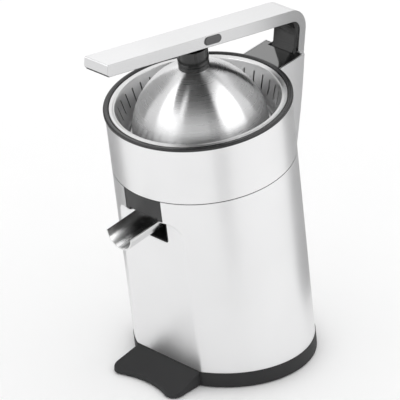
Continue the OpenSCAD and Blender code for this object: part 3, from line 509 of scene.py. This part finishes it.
def lever_liner():
    low, high, front_round = BAR_LOW - 0.9, BAR_LOW + 1.6, 7
    outline = [(0, 6.3), (6.75, -3.15), (15.7, 12)] + outer_bend(1.3, 24)
    outline += [(LEG_BACK - BEND, high), (-ARM_LEN + 1.3, high)]
    outline += [(-ARM_LEN + 1.3, BAR_LOW), (-ARM_LEN + 3, low)]
    outline += arc(5.5 - front_round, low - front_round, front_round, 90, 0, 16) + [(5.5, 20)]
    liner = prism("lever_liner_moulded", outline, LINER_HALF, LEVER)
    boolean(liner, prism("hub", circle(0, 0, 9, 72), LINER_HALF, LEVER), "UNION")
    boolean(liner, prism("pin", circle(0, 0, 4.05, 48), 20, LEVER))
    block = rectangle(SOCKET_Y - 9, BAR_LOW + 1.5, SOCKET_Y + 9, ARM_TOP - 1.3)
    boolean(liner, prism("block", block, 6.9, LEVER), "UNION")
    bevel(liner, 0.5)
    finish_piece(liner, "lever", "black_trim", ["lever_liner"], black_gloss)


def release_button(side, name):
    ends = tuple(sorted((side * 10.7, side * 13.65)))
    outline = shifted(oval(18, 6.6, 16), SOCKET_Y, BUTTON_Z)
    button = prism("button_" + name + "_moulded", outline, ends, LEVER)
    bevel(button, 0.7)
    finish_piece(button, "button_" + name, "button", ["release_button_" + name])


lever_skin()
lever_liner()
release_button(1, "right")
release_button(-1, "left")

# ---------------------------------------------------------------- column and its cover
COLUMN_TOP, COLUMN_V, COLUMN_HALF, COLUMN_WALL = 232.3, 101.9, 21, 1.2
COLUMN_FOOT = SEAM_S - 68
SHELL_FIT = 0.1


def column_v(s):
    """The column's back, which draws in towards its foot."""
    drop = COLUMN_TOP - s
    return COLUMN_V - 0.1887 * drop - 0.00075 * drop * drop


def column_outline(inset, top, n=24):
    levels = [COLUMN_FOOT + (top - COLUMN_FOOT) * i / n for i in range(n + 1)]
    return [(column_v(s) - inset, s) for s in levels] + [(40, top), (40, COLUMN_FOOT)]


def hinge_column():
    column = prism("column_satin", column_outline(0, COLUMN_TOP), COLUMN_HALF, LEAN)
    boolean(column, prism("inside", column_outline(COLUMN_WALL, 240), COLUMN_HALF - COLUMN_WALL, LEAN))
    shell_r, rim_r, rim_low = SHELL_R + SHELL_FIT, RIM_R + SHELL_FIT, RING_S - SHELL_FIT
    body = [(0, 60), (shell_r, 60), (shell_r, rim_low), (rim_r, rim_low), (rim_r, 260), (0, 260)]
    boolean(column, revolve("shell_cut", body, LEAN))
    boolean(column, prism("lever_slot", rectangle(-13.6, 90, 13.6, 130), (196, 260), LEAN, "z"))
    # The rounded edges take the second material: a painted dark reflection line along the column's edges.
    bevel(column, 0.5, 3, 50, 1)
    finish_piece(column, "housing", "column", ["hinge_column"])
    column.data.materials.append(painted_dark_edge)


def column_cover():
    half, notch_half, back, notch_back, rim_r, steps = 19.7, 13.6, 100.2, 96.3, 75.3, 30
    outline = [(half, back), (notch_half, back), (notch_half, notch_back)]
    outline += [(-notch_half, notch_back), (-notch_half, back), (-half, back)]
    edge = math.degrees(math.asin(half / rim_r))
    outline += arc(0, 0, rim_r, 90 + edge, 90 - edge, steps)
    cover = prism("column_cover_gloss", outline, (230.8, 232.25), LEAN, "z")
    bevel(cover, 0.3, 2)
    finish_piece(cover, "housing", "cover", ["column_cover"])


hinge_column()
column_cover()


# ---------------------------------------------------------------- spout
def spout():
    """A half-round trough, closed at its back, with a lug each side on the pivot."""
    r, wall, front, back = 13.5, 1.2, -40.3, 9.0
    lug_s, lug_r, pivot_r = -3.3, 3, 1.55
    trough = arc(0, 0, r, 180, 360, 48) + arc(0, 0, r - wall, 360, 180, 48)
    made = prism("spout_drawn", trough, (front, back), SPOUT, "y")
    boolean(made, prism("end", arc(0, 0, r - 0.3, 180, 360, 48), (back - wall, back), SPOUT, "y"), "UNION")
    for side in (-1, 1):
        ends = tuple(sorted((side * 10.6, side * 12.6)))
        boolean(made, prism("lug", circle(0, lug_s, lug_r, 32), ends, SPOUT), "UNION")
    boolean(made, prism("pivot", circle(0, lug_s, pivot_r, 24), 20, SPOUT))
    bevel(made, 0.35, 3, 40)
    finish_piece(made, "spout", "polished", ["spout"])


spout()

# ---------------------------------------------------------------- base, in the upright frame
TOE_BACK, TOE_FRONT, TOE_LOW, TOE_ROUND = -64.8, -98.5, 4, 0.9
TOE_STEPS = (0, 22.5, 45, 67.5, 90)


def toe_outline(inset=0.0):
    """The foot from above: two round corners and a hollowed front edge between them."""
    half, corner_x, corner_y, corner_r = 34, 28.0, -90.5, 8.0 - inset
    hollow_y, hollow_r, swing = -155.2, 62.5 + inset, 23.4
    outline = [(half - inset, TOE_BACK)]
    outline += arc(corner_x, corner_y, corner_r, 0, -90 - swing, 20)
    outline += arc(0, hollow_y, hollow_r, 90 - swing, 90 + swing, 28)[1:-1]
    outline += arc(-corner_x, corner_y, corner_r, swing - 90, -180, 20)
    return outline + [(inset - half, TOE_BACK)]


def foot():
    """Its top slopes up to the shell and has a rounded edge. The metal above it doesn't reflect it."""
    slope = (BASE_H - TOE_LOW) / (-TOE_FRONT - FLAT_V - 1.2)
    bottom_edge = ((0.5, 0.8), (0.0, 1.3))
    verts, faces, loops = [], [], len(bottom_edge) + len(TOE_STEPS)
    for inset, z in bottom_edge:
        verts += [(x, y, z) for x, y in toe_outline(inset)]
    for angle in TOE_STEPS:
        inset = TOE_ROUND * (1 - math.cos(math.radians(angle)))
        drop = TOE_ROUND * (1 - math.sin(math.radians(angle)))
        verts += [(x, y, TOE_LOW + (y - TOE_FRONT) * slope - drop) for x, y in toe_outline(inset)]
    k = len(toe_outline())
    for p in range(loops - 1):
        for i in range(k):
            j = (i + 1) % k
            faces.append((p * k + i, p * k + j, (p + 1) * k + j, (p + 1) * k + i))
    faces += [tuple(range(k)), tuple((loops - 1) * k + i for i in range(k))]
    made = build("foot_front", verts, faces, WORLD, 25)
    finish_piece(made, "housing", "base", [])
    made.visible_glossy = False


def base_ring():
    """A closed cup under the shell. Each ring is its height and how far it is set in from the outside."""
    rings = ((0.8, 0.4), (1.2, 0.0), (7.0, 0.0), (BASE_H - 0.35, 0.0),
             (BASE_H, 0.35), (BASE_H, 1.6), (3.8, 1.9))
    overhang = 0.5
    verts, faces, n, k = [], [], ROUND_STEPS, len(rings)
    for i in range(n):
        phi = signed(360 * i / n)
        for z, inset in rings:
            r = front_radius(phi, LOW_S) + overhang - inset
            v = -r * math.cos(math.radians(phi))
            verts.append((r * math.sin(math.radians(phi)), (v - z * LEAN_SIN) / LEAN_COS, z))
        j = (i + 1) % n
        faces += [(i * k + p, j * k + p, j * k + p + 1, i * k + p + 1) for p in range(k - 1)]
    faces += [tuple(i * k for i in range(n)), tuple(i * k + k - 1 for i in range(n))]
    finish_piece(build("base_ring", verts, faces, WORLD), "housing", "base", ["base_tray"])


foot()
base_ring()

# ---------------------------------------------------------------- camera, in metres
CAMERA_AZ, CAMERA_EL, CAMERA_DIST = 43.734, 26.43, 2.594
SENSOR, FOCAL_WIDTHS = 36, 3235.95 / 400
CAMERA_TARGET, SLIDE_RIGHT, SLIDE_UP = Vector((0, 0.01646, 0.11564)), -0.0099, 0.0193
MIDDLE = Vector((0, 0, 0.15))


def towards(az, el):
    """The direction from the object at an angle round from the front and an angle up, in degrees."""
    a, e = math.radians(az), math.radians(el)
    return Vector((math.sin(a) * math.cos(e), -math.cos(a) * math.cos(e), math.sin(e)))


def link_object(name, data):
    made = bpy.data.objects.new(name, data)
    bpy.context.scene.collection.objects.link(made)
    return made


def add_camera():
    back = towards(CAMERA_AZ, CAMERA_EL)
    right = Vector((math.cos(math.radians(CAMERA_AZ)), math.sin(math.radians(CAMERA_AZ)), 0))
    up = back.cross(right)
    lens = bpy.data.cameras.new("camera")
    lens.sensor_width = SENSOR
    lens.lens = SENSOR * FOCAL_WIDTHS
    lens.clip_end = 50
    camera = link_object("camera", lens)
    camera.matrix_world = Matrix((right, up, back)).transposed().to_4x4()
    camera.location = CAMERA_TARGET + right * SLIDE_RIGHT + up * SLIDE_UP + back * CAMERA_DIST
    bpy.context.scene.camera = camera


add_camera()

# ---------------------------------------------------------------- floor and light, in metres
FLOOR_HALF = 12
FLAG_DIST, FLAG_RAISE = 1.5, Vector((0, 0, 0.2))


def flat_mesh(name, w, h):
    mesh = bpy.data.meshes.new(name)
    mesh.from_pydata([(-w, -h, 0), (w, -h, 0), (w, h, 0), (-w, h, 0)], [], [(0, 1, 2, 3)])
    return mesh


def facing(az, el, dist, forward):
    """A place round the object's middle, and the turn that points the forward axis at it."""
    location = MIDDLE + towards(az, el) * dist
    return location, (MIDDLE - location).to_track_quat(forward, "Y").to_euler()


def area_light(name, az, el, dist, size_x, size_y, power):
    light = bpy.data.lights.new(name, "AREA")
    light.shape = "RECTANGLE"
    light.size, light.size_y, light.energy = size_x, size_y, power
    lamp = link_object(name, light)
    lamp.location, lamp.rotation_euler = facing(az, el, dist, "-Z")
    return lamp


def reflected_only(flag):
    """A flag is seen only as a reflection: not by the camera, in shadows or in diffuse light."""
    flag.visible_camera = flag.visible_shadow = flag.visible_diffuse = False


def card(name, turn, dist, width, height, level):
    """A flat grey flag that stands beside the object. turn is its angle from the camera."""
    flag = link_object(name, flat_mesh(name, width / 2, height / 2))
    flag.location, flag.rotation_euler = facing(CAMERA_AZ + turn, 0, dist, "Z")
    flag.data.materials.append(flag_cloth(name + "_cloth", level))
    reflected_only(flag)


def overhead_flag(name, turn, half_angle, elevations, cloth):
    """A dark strip that arches over the object. turn is its angle from the camera."""
    az = math.radians(CAMERA_AZ + turn)
    side = Vector((math.cos(az), math.sin(az), 0)) * FLAG_DIST * math.tan(math.radians(half_angle))
    verts = []
    for el in elevations:
        mid = towards(CAMERA_AZ + turn, el) * FLAG_DIST + FLAG_RAISE
        verts += [tuple(mid - side), tuple(mid + side)]
    faces = [(2 * i, 2 * i + 1, 2 * i + 3, 2 * i + 2) for i in range(len(elevations) - 1)]
    mesh = bpy.data.meshes.new(name)
    mesh.from_pydata(verts, [], faces)
    flag = link_object(name, mesh)
    flag.data.materials.append(cloth)
    reflected_only(flag)


def add_floor():
    floor = link_object("floor", flat_mesh("floor", FLOOR_HALF, FLOOR_HALF))
    floor.data.materials.append(floor_pale)


def add_world():
    world = bpy.data.worlds.new("world")
    bpy.context.scene.world = world
    world.use_nodes = True
    background = world.node_tree.nodes["Background"].inputs
    background["Color"].default_value = (1, 1, 1, 1)
    background["Strength"].default_value = 1.0


add_floor()
add_world()
for name, az in (("soft_left", -20), ("soft_right", 108)):
    area_light(name, az, el=42, dist=1.5, size_x=1.1, size_y=1.4, power=7).visible_diffuse = False
area_light("soft_back", 223.7, el=38, dist=2.2, size_x=2.8, size_y=1.6, power=4)

black_cloth = flag_cloth("flag_cloth", 0.01)
overhead_flag("flag_overhead", turn=3, half_angle=25, elevations=range(37, 118, 4), cloth=black_cloth)
overhead_flag("flag_narrow", turn=-33, half_angle=4, elevations=range(30, 100, 4), cloth=black_cloth)
card("flag_left_limb", turn=-124, dist=0.185, width=0.15, height=0.5, level=0.5)
card("flag_right_limb", turn=126, dist=0.185, width=0.15, height=0.5, level=0.55)
card("flag_low_right", turn=24, dist=0.26, width=0.08, height=0.5, level=0.78)

bpy.context.scene.view_settings.view_transform = "Standard"
bpy.context.scene.view_settings.look = "None"
